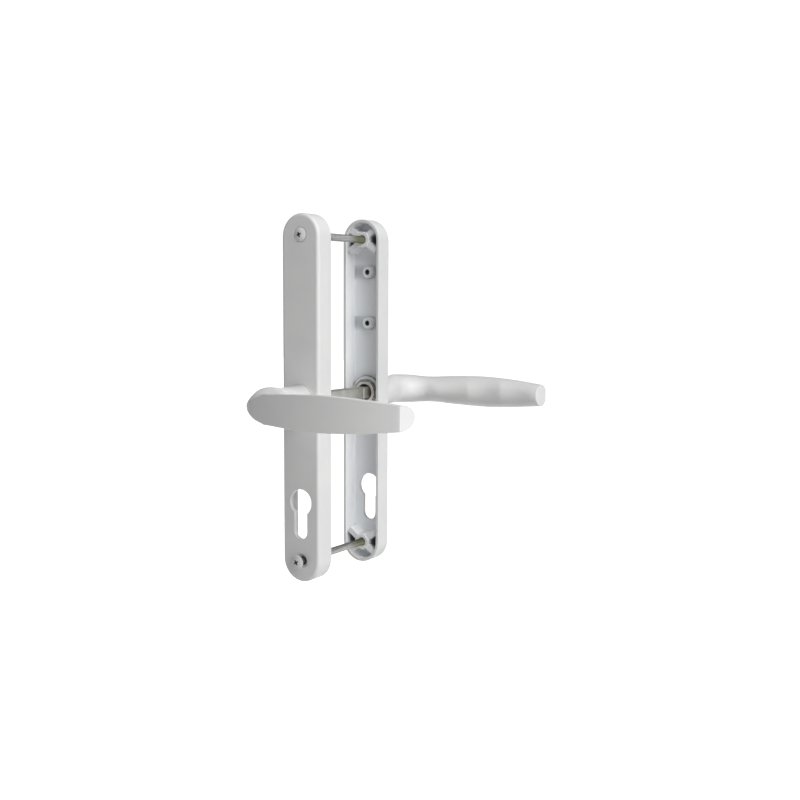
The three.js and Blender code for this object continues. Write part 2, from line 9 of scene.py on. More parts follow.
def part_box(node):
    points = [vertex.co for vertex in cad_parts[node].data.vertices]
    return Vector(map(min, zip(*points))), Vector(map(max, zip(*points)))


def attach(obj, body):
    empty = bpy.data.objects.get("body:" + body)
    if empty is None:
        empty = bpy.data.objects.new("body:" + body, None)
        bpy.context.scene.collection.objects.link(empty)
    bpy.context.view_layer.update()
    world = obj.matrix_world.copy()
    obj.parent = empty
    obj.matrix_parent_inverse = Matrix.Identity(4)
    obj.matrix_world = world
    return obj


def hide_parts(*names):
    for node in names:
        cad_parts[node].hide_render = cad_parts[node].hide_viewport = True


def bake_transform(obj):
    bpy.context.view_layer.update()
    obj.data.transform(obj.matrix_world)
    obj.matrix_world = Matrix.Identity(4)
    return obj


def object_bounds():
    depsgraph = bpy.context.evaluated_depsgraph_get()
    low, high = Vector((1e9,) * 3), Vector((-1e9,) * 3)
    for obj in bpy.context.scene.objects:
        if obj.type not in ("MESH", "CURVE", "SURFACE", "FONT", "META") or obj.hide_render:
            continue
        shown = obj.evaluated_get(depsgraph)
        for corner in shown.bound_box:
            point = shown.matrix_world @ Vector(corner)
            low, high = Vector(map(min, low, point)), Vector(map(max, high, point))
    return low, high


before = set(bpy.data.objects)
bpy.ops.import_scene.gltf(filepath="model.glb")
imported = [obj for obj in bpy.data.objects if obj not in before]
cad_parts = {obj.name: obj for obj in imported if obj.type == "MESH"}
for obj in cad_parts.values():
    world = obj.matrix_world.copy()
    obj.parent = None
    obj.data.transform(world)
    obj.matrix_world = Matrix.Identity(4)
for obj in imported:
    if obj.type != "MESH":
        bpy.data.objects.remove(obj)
cad_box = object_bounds()
MM = 0.001

# ---- The studio ---------------------------------------------------------------------------------
# A bright paper floor, a large softbox to the right, smaller ones above, and a card that bounces
# light up from the floor. The handles hang clear of the floor, as they do on a door.

CAMERA_PLACE = (443.1 * MM, -617.5 * MM, 67.2 * MM)
CAMERA_DOWN = 5.28  # degrees below level
CAMERA_LEFT = 32.43  # degrees from straight at the interior backplate
CAMERA_ROLL = 0.26
LENS = 49.87
FLOOR_DROP = 60 * MM
FLOOR_SIZE = 6
AMBIENT = 0.2
REFLECTED = 0.45
SEEN = 1.1
PAPER_WHITE = (0.9, 0.9, 0.9, 1)
PAPER_GLOW = 1.15
# Each softbox's name, place, side in metres and power in watts.
SOFTBOXES = (
    ("key_softbox", (1.213, -0.325, 0.725), 1.0, 13.3),
    ("front_softbox", (0.35, -0.3, 0.6), 0.5, 1.3),
    ("top_softbox", (0.1, -0.2, 1.5), 1.4, 1.5),
    ("bounce_card", (0.3, -0.15, -0.17), 0.4, 0.45),
)


def make_camera():
    camera = bpy.data.objects.new("camera", bpy.data.cameras.new("camera"))
    level = math.radians(90 - CAMERA_DOWN)
    look = Euler((level, 0, math.radians(CAMERA_LEFT))).to_matrix()
    roll = Matrix.Rotation(math.radians(CAMERA_ROLL), 3, "Z")
    camera.matrix_world = Matrix.Translation(CAMERA_PLACE) @ (look @ roll).to_4x4()
    camera.data.sensor_width = 36
    camera.data.lens = LENS
    camera.data.clip_start = 0.01
    bpy.context.scene.collection.objects.link(camera)
    bpy.context.scene.camera = camera


def make_softbox(name, place, size, power):
    """A square area light that faces the origin."""
    light = bpy.data.objects.new(name, bpy.data.lights.new(name, "AREA"))
    light.data.size = size
    light.data.energy = power
    light.location = place
    light.rotation_euler = (-Vector(place)).to_track_quat("-Z", "Y").to_euler()
    bpy.context.scene.collection.objects.link(light)


def make_surroundings():
    """White to look at, light grey in reflections, and a dim grey as a light."""
    world = bpy.data.worlds.new("paper_white")
    bpy.context.scene.world = world
    world.use_nodes = True
    tree = world.node_tree
    background = tree.nodes["Background"]
    path = tree.nodes.new("ShaderNodeLightPath")
    strength = AMBIENT
    for ray, brightness in (("Is Glossy Ray", REFLECTED), ("Is Camera Ray", SEEN)):
        step = tree.nodes.new("ShaderNodeMath")
        step.operation = "MULTIPLY_ADD"
        tree.links.new(path.outputs[ray], step.inputs[0])
        step.inputs[1].default_value = brightness - AMBIENT
        if strength == AMBIENT:
            step.inputs[2].default_value = AMBIENT
        else:
            tree.links.new(strength, step.inputs[2])
        strength = step.outputs[0]
    tree.links.new(strength, background.inputs["Strength"])
    background.inputs["Color"].default_value = (1, 1, 1, 1)


def make_floor():
    paper = bpy.data.materials.new("floor_paper")
    paper.use_nodes = True
    shader = paper.node_tree.nodes["Principled BSDF"]
    shader.inputs["Base Color"].default_value = PAPER_WHITE
    shader.inputs["Roughness"].default_value = 0.9
    shader.inputs["Emission Color"].default_value = (1, 1, 1, 1)
    shader.inputs["Emission Strength"].default_value = PAPER_GLOW
    mesh = bpy.data.meshes.new("floor")
    half, height = FLOOR_SIZE / 2, cad_box[0].z - FLOOR_DROP
    corners = [(-half, -half), (half, -half), (half, half), (-half, half)]
    mesh.from_pydata([(x, y, height) for x, y in corners], [], [(0, 1, 2, 3)])
    mesh.materials.append(paper)
    floor = bpy.data.objects.new("floor", mesh)
    bpy.context.scene.collection.objects.link(floor)
    floor.visible_diffuse = False


bpy.context.scene.view_settings.view_transform = "Standard"
make_camera()
for softbox in SOFTBOXES:
    make_softbox(*softbox)
make_surroundings()
make_floor()

# ---- The backplates -----------------------------------------------------------------------------
# Each is one zinc die casting, hollow towards the door, with bosses and ribs for the two through
# bolts. The casting is blasted and powder coated in satin white, with runs of thinner coat inside.
# Inside, the paint is painted whiter as light on the ribs and walls, and painted darker as shade on
# the floor, in the troughs and lug holes, and in the pockets between the ribs.

plate_low, plate_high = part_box("interior_backplate")
DOOR_HALF = -plate_high.y  # from the middle of the door to its face
PLATE_DEPTH = plate_high.y - plate_low.y
PLATE_WIDTH = plate_high.x - plate_low.x
PLATE_LENGTH = plate_high.z - plate_low.z
WALL = 2.2 * MM
FACE = 3 * MM
FLOOR_DEPTH = PLATE_DEPTH - FACE
FRONT_EDGE = 2.3 * MM
RIM_EDGE = 0.35 * MM
FLOOR_FILLET = 1.4 * MM
DRAFT = 0.3 * MM
BOSS_RADIUS = 5.5 * MM
BOSS_TOP = 1 * MM
RIB_WIDTH = 3.8 * MM
RIB_TOP = 1.6 * MM
RIB_ANGLE = 35
LUG_HEIGHTS = (85 * MM, 49 * MM)
LUG_RADIUS = 4.25 * MM
LUG_RISE = 3 * MM
LUG_HOLE = 1.8 * MM
TROUGH_HEIGHT = 9.5 * MM
TROUGH_DEPTH = 0.8 * MM
BLIND_FLOOR = 1.7 * MM
BOLT_RADIUS = 2.5 * MM
BOLT_GAP = 0.35 * MM
HUB_HOLE = 9.05 * MM
CYLINDER_DROP = 68 * MM
PLUG_RADIUS = 8.75 * MM
WEB_HALF = 5.25 * MM
PROFILE_BOTTOM = -92.75 * MM
SOFT_EDGE = 0.3 * MM
HOLE_MOUTH = 0.5 * MM
CUT_PAST = 1 * MM  # how far a cut runs on past what it cuts
ARC_STEPS = 40
SIDES = {"interior": -1, "exterior": 1}
HANDLE = {"interior": "interior_handle", "exterior": "exterior_handle"}

head_low, head_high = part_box("top_bolt")
BOLT_HEIGHT = (head_low.z + head_high.z) / 2
HEAD_RADIUS = (head_high.x - head_low.x) / 2


def at(side, x, depth, z):
    """A point by its depth, measured outwards from the door's face on that side."""
    return (x, SIDES[side] * (DOOR_HALF + depth), z)


def arc(radius, start, stop, steps, middle=(0, 0)):
    """Points along an arc, from one angle in degrees to another."""
    turns = np.radians(np.linspace(start, stop, steps + 1))
    return [(middle[0] + radius * math.cos(t), middle[1] + radius * math.sin(t)) for t in turns]


def solid(name, points, faces):
    """An object from points and faces, with its faces turned outwards."""
    mesh = bpy.data.meshes.new(name)
    mesh.from_pydata(points, [], faces)
    shape = bmesh.new()
    shape.from_mesh(mesh)
    bmesh.ops.remove_doubles(shape, verts=shape.verts, dist=0.001 * MM)
    bmesh.ops.recalc_face_normals(shape, faces=shape.faces)
    shape.to_mesh(mesh)
    shape.free()
    piece = bpy.data.objects.new(name, mesh)
    bpy.context.scene.collection.objects.link(piece)
    return piece


def loft(name, rings, closed=False):
    """A solid through rings of equally many points, capped at its ends or joined end to end."""
    count = len(rings[0])
    points = [point for ring in rings for point in ring]
    faces = []
    for i in range(len(rings) if closed else len(rings) - 1):
        here, there = i * count, (i + 1) % len(rings) * count
        for k in range(count):
            after = (k + 1) % count
            faces.append((here + k, here + after, there + after, there + k))
    if not closed:
        faces += [tuple(range(count)), tuple(range(len(points) - count, len(points)))]
    return solid(name, points, faces)


def settle(piece):
    """Applies the piece's modifiers to its mesh."""
    graph = bpy.context.evaluated_depsgraph_get()
    piece.data = bpy.data.meshes.new_from_object(piece.evaluated_get(graph))
    piece.modifiers.clear()


def join(piece, tool, operation="UNION"):
    """Joins a tool to the piece, or cuts it away, and removes the tool."""
    modifier = piece.modifiers.new("join", "BOOLEAN")
    modifier.operation = operation
    modifier.solver = "EXACT"
    modifier.object = tool
    settle(piece)
    bpy.data.objects.remove(tool)


def soften(piece, width, segments=2, angle=40):
    """Rounds the sharp edges a little, and shades the rest smooth."""
    bevel = piece.modifiers.new("soft_edges", "BEVEL")
    bevel.width = width
    bevel.segments = segments
    bevel.limit_method = "ANGLE"
    bevel.angle_limit = math.radians(angle)
    settle(piece)
    shade(piece)


def shade(piece, angle=40):
    """Smooth shading, with flat faces kept flat beside their rounded edges."""
    piece.data.shade_smooth()
    piece.data.set_sharp_from_angle(angle=math.radians(angle))
    piece.modifiers.new("flat_faces", "WEIGHTED_NORMAL").keep_sharp = True


def turned(name, side, profile, steps=ARC_STEPS, z=0, closed=False):
    """A solid turned about a line along Y, from [radius, depth] corners."""
    rings = [
        [at(side, x, depth, z + up) for x, up in arc(radius, 0, 360 - 360 / steps, steps - 1)]
        for radius, depth in profile
    ]
    return loft(name, rings, closed)


def stadium(inset, steps=ARC_STEPS):
    """The plate's outline, moved inwards by an inset."""
    radius = PLATE_WIDTH / 2 - inset
    end = PLATE_LENGTH / 2 - PLATE_WIDTH / 2
    return arc(radius, 0, 180, steps, (0, end)) + arc(radius, 180, 360, steps, (0, -end))


def plate_shell(side):
    """The hollow shell, lofted from the middle of its front round the rim to the floor inside."""
    front = [(FRONT_EDGE - x, PLATE_DEPTH - FRONT_EDGE + y) for x, y in arc(FRONT_EDGE, 90, 0, 8)]
    rim_out = [(RIM_EDGE - x, RIM_EDGE - y) for x, y in arc(RIM_EDGE, 0, 90, 3)]
    rim_in = [(WALL - RIM_EDGE + x, RIM_EDGE - y) for x, y in arc(RIM_EDGE, 90, 0, 3)]
    corner = (WALL + DRAFT + FLOOR_FILLET, FLOOR_DEPTH - FLOOR_FILLET)
    fillet = [(corner[0] - x, corner[1] + y) for x, y in arc(FLOOR_FILLET, 0, 90, 5)]
    profile = front + rim_out + rim_in + fillet
    rings = [[at(side, x, depth, z) for x, z in stadium(inset)] for inset, depth in profile]
    return loft(f"{side}_plate", rings)


def prism(side, outline, start, stop, name="tool"):
    """An outline in X and Z, between two depths."""
    return loft(name, [[at(side, x, depth, z) for x, z in outline] for depth in (start, stop)])


def rib(side, z, angle):
    """A tapered rib through a boss, from wall to wall."""
    reach = PLATE_WIDTH / 2 - WALL / 2
    turn = Matrix.Rotation(math.radians(angle), 2)
    rings = []
    for depth, width in ((RIB_TOP, RIB_WIDTH), (FLOOR_DEPTH + FACE / 2, RIB_WIDTH + 4 * DRAFT)):
        corners = [(-reach, -width / 2), (reach, -width / 2), (reach, width / 2), (-reach, width / 2)]
        spun = [turn @ Vector(corner) for corner in corners]
        rings.append([at(side, p.x, depth, z + p.y) for p in spun])
    return loft("rib", rings)


def euro_profile():
    """A round over a straight part with a round lower end."""
    meet = math.degrees(math.asin(WEB_HALF / PLUG_RADIUS))
    top = arc(PLUG_RADIUS, meet - 90, 270 - meet, ARC_STEPS, (0, -CYLINDER_DROP))
    return top + arc(WEB_HALF, 180, 360, ARC_STEPS // 2, (0, PROFILE_BOTTOM + WEB_HALF))


def backplate(side):
    plate = plate_shell(side)
    root = FLOOR_DEPTH + FACE / 2
    for z in (BOLT_HEIGHT, -BOLT_HEIGHT):
        taper = BOSS_RADIUS + 2 * DRAFT
        profile = [(BOSS_RADIUS, BOSS_TOP), (taper, root)]
        for angle in (RIB_ANGLE, -RIB_ANGLE):
            join(plate, rib(side, z, angle))
        join(plate, turned("boss", side, profile, z=z))
    for z in LUG_HEIGHTS:
        half_width, half_height = PLATE_WIDTH / 2 - WALL - DRAFT, TROUGH_HEIGHT / 2
        box = [(-half_width, z - half_height), (half_width, z - half_height)]
        box += [(half_width, z + half_height), (-half_width, z + half_height)]
        trough = prism(side, box, FLOOR_DEPTH - FLOOR_FILLET, FLOOR_DEPTH + TROUGH_DEPTH)
        join(plate, trough, "DIFFERENCE")
        top = FLOOR_DEPTH - LUG_RISE
        lug = [(LUG_RADIUS - DRAFT, top), (LUG_RADIUS + DRAFT, root)]
        join(plate, turned("lug", side, lug, z=z))
        hole = [(LUG_HOLE, top - CUT_PAST), (LUG_HOLE, PLATE_DEPTH - BLIND_FLOOR)]
        join(plate, turned("hole", side, hole, z=z), "DIFFERENCE")
    before, past = FLOOR_DEPTH - CUT_PAST, PLATE_DEPTH + CUT_PAST
    join(plate, prism(side, euro_profile(), before, past), "DIFFERENCE")
    hub = [(HUB_HOLE, before), (HUB_HOLE, past)]
    join(plate, turned("hub", side, hub), "DIFFERENCE")
    for z in (BOLT_HEIGHT, -BOLT_HEIGHT):
        radius = BOLT_RADIUS + BOLT_GAP
        if side == "interior":
            sink = HEAD_RADIUS + BOLT_GAP * math.sqrt(2)
            hole = [(radius, 0), (radius, PLATE_DEPTH - (sink - radius)), (sink, PLATE_DEPTH)]
            hole.append((sink + CUT_PAST, past))
        else:
            hole = [(radius + 2 * HOLE_MOUTH, BOSS_TOP - HOLE_MOUTH)]
            hole.append((radius, BOSS_TOP + HOLE_MOUTH))
            hole.append((radius, PLATE_DEPTH - BLIND_FLOOR))
        join(plate, turned("hole", side, hole, z=z), "DIFFERENCE")
    soften(plate, SOFT_EDGE)
    return plate


class Socket:
    """An output socket of a material's nodes, which adds and multiplies as a number does."""

    def __init__(self, tree, socket):
        self.tree = tree
        self.socket = socket

    def node(self, kind, settings=None, inputs=None, output=0):
        """Adds a node. Its settings are made first, then its sockets are given values or links."""
        made = self.tree.nodes.new("ShaderNode" + kind)
        for name, value in (settings or {}).items():
            if name == "stops":
                ramp = made.color_ramp
                while len(ramp.elements) < len(value):
                    ramp.elements.new(0.5)
                for element, (position, colour) in zip(ramp.elements, value):
                    element.position, element.color = position, (*colour, 1)
            else:
                setattr(made, name, value)
        for name, value in (inputs or {}).items():
            if isinstance(value, Socket):
                self.tree.links.new(value.socket, made.inputs[name])
            else:
                made.inputs[name].default_value = value
        return Socket(self.tree, made.outputs[output])

    def maths(self, operation, *values):
        return self.node("Math", {"operation": operation}, dict(enumerate(values)))

    def __add__(self, other):
        return self.maths("ADD", self, other)

    def __sub__(self, other):
        return self.maths("SUBTRACT", self, other)

    def __rsub__(self, other):
        return self.maths("SUBTRACT", other, self)

    def __mul__(self, other):
        return self.maths("MULTIPLY", self, other)

    def __pow__(self, other):
        return self.maths("POWER", self, other)

    __radd__ = __add__
    __rmul__ = __mul__

    def size(self):
        """The number without its sign."""
        return self.maths("ABSOLUTE", self)

    def between(self, low, high):
        """0 below low, 1 above high, and smooth between them."""
        settings = {"interpolation_type": "SMOOTHSTEP"}
        return self.node("MapRange", settings, {"Value": self, "From Min": low, "From Max": high})

    def scaled(self, x, y, z):
        """A place, stretched along each axis."""
        return self.node("VectorMath", {"operation": "MULTIPLY"}, {0: self, 1: (x, y, z)})

    def noise(self, size, detail=2):
        """Cloudy noise from 0 to 1, whose blots are about this many millimetres across."""
        return self.node("TexNoise", {}, {"Vector": self, "Scale": 1 / size, "Detail": detail})

    def blend(self, colour, other):
        """One colour where this is 0, and the other where it is 1."""
        inputs = {0: self, 6: colour, 7: other}
        return self.node("Mix", {"data_type": "RGBA"}, inputs, output=2)

    def part(self, axis):
        return self.node("SeparateXYZ", {}, {0: self}, output="XYZ".index(axis))


def material(name, look, uniform):
    """look(place) gives what changes over the surface, with place in millimetres. Its height is in
    millimetres too. uniform is what stays the same."""
    made = bpy.data.materials.new(name)
    made.use_nodes = True
    tree = made.node_tree
    shader = tree.nodes["Principled BSDF"]
    for socket, value in uniform.items():
        shader.inputs[socket].default_value = value
    place = Socket(tree, tree.nodes.new("ShaderNodeTexCoord").outputs["Object"])
    varied = look(place.scaled(1 / MM, 1 / MM, 1 / MM))
    if "height" in varied:
        bump = {"Height": varied.pop("height"), "Distance": MM, "Strength": 1}
        varied["Normal"] = place.node("Bump", {}, bump)
    for socket, value in varied.items():
        tree.links.new(value.socket, shader.inputs[socket])
    return made


# How deep into the plate the painted shade of the pockets begins.
POCKET_SHADE_BELOW = 4  # millimetres into the plate
HOLE_EDGE = (LUG_HOLE / MM) ** 2 + 0.1
PAINT_WHITE = (0.80, 0.80, 0.795, 1)
PAINT_SHADE = (0.765, 0.768, 0.768, 1)
# Inside the hollow: a whiter copy of the paint as painted light on the ribs and walls, and darker
# colours painted as shade on the floor, in the troughs, in the lug holes and in the pockets.
INSIDE_LIT_WHITE = (0.95, 0.955, 0.96, 1)
INSIDE_THIN_AND_SHADE = (0.87, 0.89, 0.915, 1)
# Painted shade for the troughs beside the lugs.
TROUGH_PAINTED_SHADE = (0.56, 0.58, 0.60, 1)
# Painted shade for the inside of the lug holes.
HOLE_SHADE = (0.10, 0.105, 0.11, 1)
# Painted shade, in a dark bluish zinc colour, for the pockets between the ribs.
POCKET_PAINTED_SHADE = (0.17, 0.185, 0.23, 1)


def powder_coat(place):
    peel = place.noise(1.3, 1)
    grain = place.noise(0.28, 1)
    patches = place.noise(22, 3)
    return {
        "Base Color": patches.between(0.35, 0.7).blend(PAINT_WHITE, PAINT_SHADE),
        "Roughness": 0.33 + 0.1 * patches + 0.06 * grain,
        "height": 0.022 * peel + 0.004 * grain,
    }


def inside_coat_painted_light(place):
    """The inside paint is whiter than the outside paint, as painted light on the ribs and walls, with
    random runs of thinner coat. It is painted darker as shade on the floor, in the troughs beside the
    lugs and in the lug holes, and the pockets between the ribs take a dark bluish zinc colour as
    painted shade."""
    grit = place.noise(0.5, 2)
    runs = place.scaled(1, 1, 0.4).noise(7, 3)
    x, y, z = place.part("X"), place.part("Y"), place.part("Z")
    depth = y.size() - DOOR_HALF / MM
    floor = FLOOR_DEPTH / MM
    wall = runs.between(0.35, 0.75).blend(INSIDE_LIT_WHITE, INSIDE_THIN_AND_SHADE)
    # Painted shade: the floor of the hollow is darker than the walls and ribs, which carry the whiter
    # painted light.
    flat = (depth + 0.5 * grit).between(floor - 1, floor + 0.2).blend(wall, INSIDE_THIN_AND_SHADE)
    deep = (depth + runs).between(floor - 1, floor + 1.2)
    for lug in LUG_HEIGHTS:
        # Painted shade: the floor of the trough beside each lug is darker.
        beside = (z + 3 * runs - (lug / MM + 1.5)).size()
        flat = ((1 - beside.between(1, 6.5)) * deep).blend(flat, TROUGH_PAINTED_SHADE)
        up = z - lug / MM
        # Painted shade: the lug hole is coloured near-black.
        in_hole = 1 - (x * x + up * up).between(HOLE_EDGE, HOLE_EDGE + 0.6)
        flat = in_hole.blend(flat, HOLE_SHADE)
    # Painted shade: the pockets between the ribs round each bolt boss take a dark bluish zinc colour.
    beside = (z.size() + 2 * runs - (BOLT_HEIGHT / MM + 1)).size()
    pocket = (1 - beside.between(3, 6)) * (depth + 2 * runs).between(POCKET_SHADE_BELOW, POCKET_SHADE_BELOW + 4)
    return {
        "Base Color": pocket.blend(flat, POCKET_PAINTED_SHADE),
        "Roughness": 0.42 + 0.12 * runs,
        "height": 0.03 * grit + 0.12 * runs,
    }


def coat(piece, *looks):
    """Gives a piece its materials, in this order."""
    piece.data.materials.clear()
    for look in looks:
        piece.data.materials.append(look)


white_paint = material("powder_coat", powder_coat, {"Coat Weight": 0.15, "Coat Roughness": 0.25})
inside_lit_paint = material("powder_coat_inside_painted_light", inside_coat_painted_light, {})


def inside_plate(point):
    """Whether a point lies in the hollow of a backplate."""
    depth = abs(point.y) - DOOR_HALF
    beyond = max(0, abs(point.z) - (PLATE_LENGTH - PLATE_WIDTH) / 2)
    inset = PLATE_WIDTH / 2 - math.hypot(point.x, beyond)
    return depth < PLATE_DEPTH - 0.6 * FACE and inset > WALL - RIM_EDGE and depth > 0.2 * MM


for side in SIDES:
    plate = backplate(side)
    coat(plate, white_paint, inside_lit_paint)
    # The hollow takes the inside paint, with its painted light and painted shade.
    for face in plate.data.polygons:
        face.material_index = int(inside_plate(face.center))
    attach(plate, "plates")
    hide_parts(f"{side}_backplate")

# ---- The levers ---------------------------------------------------------------------------------
# Each lever is a cast zinc bar, powder coated like its plate. Its round neck turns in the plate
# and takes the square spindle. The grip has a flat outer side, and hollows for the fingers behind.

lever_low, lever_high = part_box("exterior_lever")
REACH = lever_high.x
NECK_RADIUS = -lever_low.x
JOURNAL_END = lever_low.y - DOOR_HALF
OUTER_LEAN = math.radians(11)
GRIP_THICKNESS = 16.2 * MM
GRIP_BOW = 2.2 * MM
ELBOW_OUTSIDE = 20 * MM
ELBOW_INSIDE = 15 * MM
FINGER_FIRST = 30.8 * MM
FINGER_PITCH = 25.8 * MM
FINGER_RIDGES = 4
FINGER_DEPTH = 1.1 * MM
RIDGE_SOFTNESS = 0.1
LEAF_FROM = 13 * MM
LEAF_TO = 36 * MM
OUTER_FACE = {"interior": (0.985, 10.5 * MM), "exterior": (0.5, 7.2 * MM)}
KEEL_AT = 11 * MM
KEEL_TO = 32.5 * MM
KEEL_REACH = 1.5 * MM
KEEL_POWER = 0.5
GRIP_DROP = 0.8 * MM
CREASE_ROUND = 0.35 * MM
CORNER_IN, CORNER_DOWN = 0.15, 0.25  # the rounded crease's middle, as shares of CREASE_ROUND
END_ROUND = 0.6 * MM
JOURNAL_RADIUS = 8 * MM
JOURNAL_FLAT = 7.4 * MM
GROOVE_RADIUS = 7.3 * MM
GROOVE_PLAY = 0.2 * MM
MOUTH_RADIUS = 5.8 * MM
MOUTH_DEPTH = 10 * MM
SOCKET_HALF = 4.15 * MM
SOCKET_DEPTH = 32.5 * MM
GRUB_ALONG = 24 * MM
GRUB_HOLE = 2.6 * MM
# Half the lever's height at shares of its reach: neck, waist, swell and end.
HALF_HEIGHTS = (
    (-0.1, 10.5),
    (0.05, 10.4),
    (0.19, 9.45),
    (0.38, 10.5),
    (0.58, 11.1),
    (0.8, 9.8),
    (1, 7.6),
)
ROUND_POINTS = 80
FLAT_POINTS = 14
RING_POINTS = ROUND_POINTS + FLAT_POINTS + 2
shoulder = abs(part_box("exterior_bush")[1].y) - DOOR_HALF + 0.1 * MM
clip_far = abs(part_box("exterior_circlip")[1].y) - DOOR_HALF
clip_near = abs(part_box("exterior_circlip")[0].y) - DOOR_HALF
flats_end = abs(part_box("exterior_spring_driver")[1].y) - DOOR_HALF + 0.1 * MM
BLADE_START = ELBOW_OUTSIDE * (1 - math.sin(OUTER_LEAN)) - NECK_RADIUS
OUTER_BOW = (REACH - BLADE_START) * math.tan(OUTER_LEAN) / 4
FACE_DEPTH = lever_high.y - DOOR_HALF - OUTER_BOW


def half_height(x):
    """Half the lever's height at x, on a smooth curve through HALF_HEIGHTS."""
    places = np.array([share * REACH for share, half in HALF_HEIGHTS])
    halves = np.array([half * MM for share, half in HALF_HEIGHTS])
    slopes = np.gradient(halves, places)
    i = int(np.clip(np.searchsorted(places, x) - 1, 0, len(places) - 2))
    gap = places[i + 1] - places[i]
    t = (x - places[i]) / gap
    start = (1 + 2 * t) * (1 - t) ** 2 * halves[i] + t * (1 - t) ** 2 * gap * slopes[i]
    stop = t * t * (3 - 2 * t) * halves[i + 1] + t * t * (t - 1) * gap * slopes[i + 1]
    return start + stop


def smooth_step(value, low, high):
    t = min(max((value - low) / (high - low), 0), 1)
    return t * t * (3 - 2 * t)


def lever_sections():
    """Sections from the neck's shoulder to the end, as (outer point, inner point, distance along
    the outer line). Each point is (x, depth)."""
    grip_depth = FACE_DEPTH - GRIP_THICKNESS
    outer_middle = (
        ELBOW_OUTSIDE - NECK_RADIUS, FACE_DEPTH - ELBOW_OUTSIDE * math.cos(OUTER_LEAN)
    )
    inner_middle = (ELBOW_INSIDE + NECK_RADIUS, grip_depth - ELBOW_INSIDE)
    outer_turn = math.pi / 2 - OUTER_LEAN

    def bow(x, start):
        middle = (start + REACH) / 2
        return 1 - ((x - middle) / (REACH - middle)) ** 2

    def fingers(x):
        share = (x - FINGER_FIRST) / FINGER_PITCH
        if not 0 <= share <= FINGER_RIDGES - 1:
            return 0
        return math.hypot(math.sin(math.pi * share), RIDGE_SOFTNESS) - RIDGE_SOFTNESS

    def around(centre, radius, turn):
        return (centre[0] - radius * math.cos(turn), centre[1] + radius * math.sin(turn))

    sections = [((-NECK_RADIUS, shoulder), (NECK_RADIUS, shoulder), 0)]
    for share in np.linspace(0, 1, 41):
        outer = around(outer_middle, ELBOW_OUTSIDE, outer_turn * share)
        inner = around(inner_middle, ELBOW_INSIDE, math.pi / 2 * share)
        sections.append((outer, inner, ELBOW_OUTSIDE * outer_turn * share))
    for share in np.linspace(0, 1, 97)[1:]:
        x = BLADE_START + (REACH - BLADE_START) * share
        inner_x = inner_middle[0] + (REACH - inner_middle[0]) * share
        outer = (x, FACE_DEPTH + OUTER_BOW * bow(x, BLADE_START))
        hollow = FINGER_DEPTH * fingers(inner_x)
        inner = (inner_x, grip_depth + GRIP_BOW * bow(inner_x, inner_middle[0]) ** 2 + hollow)
        sections.append((outer, inner, ELBOW_OUTSIDE * outer_turn + x - BLADE_START))
    return sections


def section_ring(side, outer, inner, along, shrink=0):
    """One ring of the lever: an ellipse cut off flat on its outer side, with a crease above and
    below the flat. The flat has no width on the neck, and widens over the elbow."""
    across = (inner[0] - outer[0], inner[1] - outer[1])
    whole = math.hypot(*across)
    thickness = whole - 2 * shrink
    half = half_height((outer[0] + inner[0]) / 2) - shrink
    grown = min(max((along - LEAF_FROM) / (LEAF_TO - LEAF_FROM), 0), 1)
    share, rounding = OUTER_FACE[side]
    flat = share * grown
    keel = smooth_step(along, 0, KEEL_AT) - smooth_step(along, KEEL_AT, KEEL_TO)
    power = 1 + KEEL_POWER * keel
    outer_axis = NECK_RADIUS + (rounding - NECK_RADIUS) * grown + KEEL_REACH * keel
    widest = outer_axis * math.sqrt(1 - flat ** (2 / power))
    crease = math.pi - math.asin(flat ** (1 / power))
    drop = GRIP_DROP * smooth_step(along, 0, KEEL_TO)
    softness = min(CREASE_ROUND, half * flat / 3)
    stop = crease - softness / outer_axis
    flat_half = half * flat - softness
    points = []
    for turn in np.linspace(-stop, stop, ROUND_POINTS):
        c, s = math.cos(turn), math.sin(turn)
        if c > 0:
            points.append((widest + (thickness - widest) * c, half * s))
        else:
            points.append((widest + outer_axis * c, half * math.copysign(abs(s) ** power, s)))
    corner_in, corner_down = softness * CORNER_IN, softness * CORNER_DOWN
    points.append((corner_in, half * flat - corner_down))
    points += [(0, up) for up in np.linspace(flat_half, -flat_half, FLAT_POINTS)]
    points.append((corner_in, corner_down - half * flat))
    ring = []
    for distance, up in points:
        share = (distance + shrink) / whole
        x, depth = outer[0] + across[0] * share, outer[1] + across[1] * share
        ring.append(at(side, x, depth, up - drop))
    return ring


